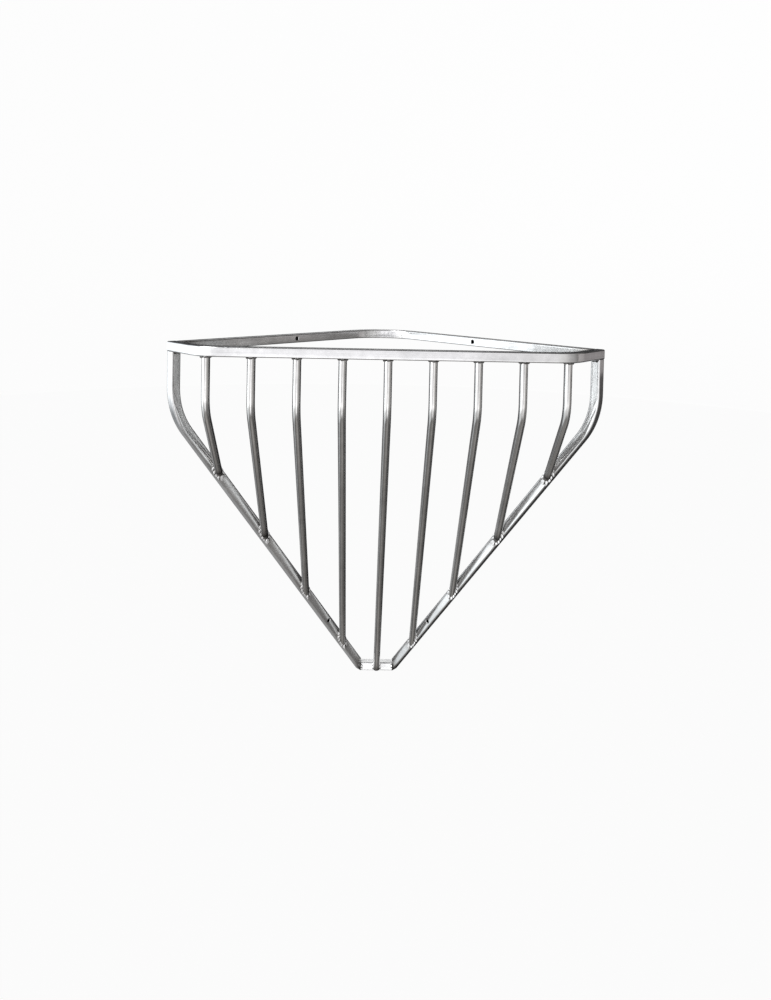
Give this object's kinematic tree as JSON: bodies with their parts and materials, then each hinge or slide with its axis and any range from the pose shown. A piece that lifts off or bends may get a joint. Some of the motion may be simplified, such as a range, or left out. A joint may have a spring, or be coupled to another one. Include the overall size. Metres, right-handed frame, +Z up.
{
  "type": "corner hay rack feeder",
  "caption": "Wall-corner hay rack of welded square tube, with bent round bars across its open front and screw holes to fix it to both walls.",
  "frame": {"origin": "where the two wall planes meet, level with the middle of the rim and its screw holes", "axes": "+Z up, the open front with the bars faces -Y, +X to the right seen from the front; the walls are the upright planes at 45 degrees to X on each side"},
  "size_m": [0.8824, 0.4844, 0.876],
  "materials": {
    "tube": "galvanised, satin",
    "bars": "galvanised, satin",
    "welds": "galvanised over weld, rough"
  },
  "bodies": {
    "root": {"back_rail": "tube", "front_rail": "tube", "side_member_left": "tube", "side_member_right": "tube", "bottom_crossbar": "tube", "bar_1": "bars", "bar_2": "bars", "bar_3": "bars", "bar_4": "bars", "bar_5": "bars", "bar_6": "bars", "bar_7": "bars", "bar_8": "bars", "bar_9": "bars", "bar_top_weld_1": "welds", "bar_top_weld_2": "welds", "bar_top_weld_3": "welds", "bar_top_weld_4": "welds", "bar_top_weld_5": "welds", "bar_top_weld_6": "welds", "bar_top_weld_7": "welds", "bar_top_weld_8": "welds", "bar_top_weld_9": "welds", "bar_foot_weld_1": "welds", "bar_foot_weld_2": "welds", "bar_foot_weld_3": "welds", "bar_foot_weld_4": "welds", "bar_foot_weld_5": "welds", "bar_foot_weld_6": "welds", "bar_foot_weld_7": "welds", "bar_foot_weld_8": "welds", "bar_foot_weld_9": "welds", "rim_weld_left": "welds", "rim_weld_right": "welds", "side_weld_left": "welds", "side_weld_right": "welds", "crossbar_weld_left": "welds", "crossbar_weld_right": "welds"}
  },
  "joints": []
}
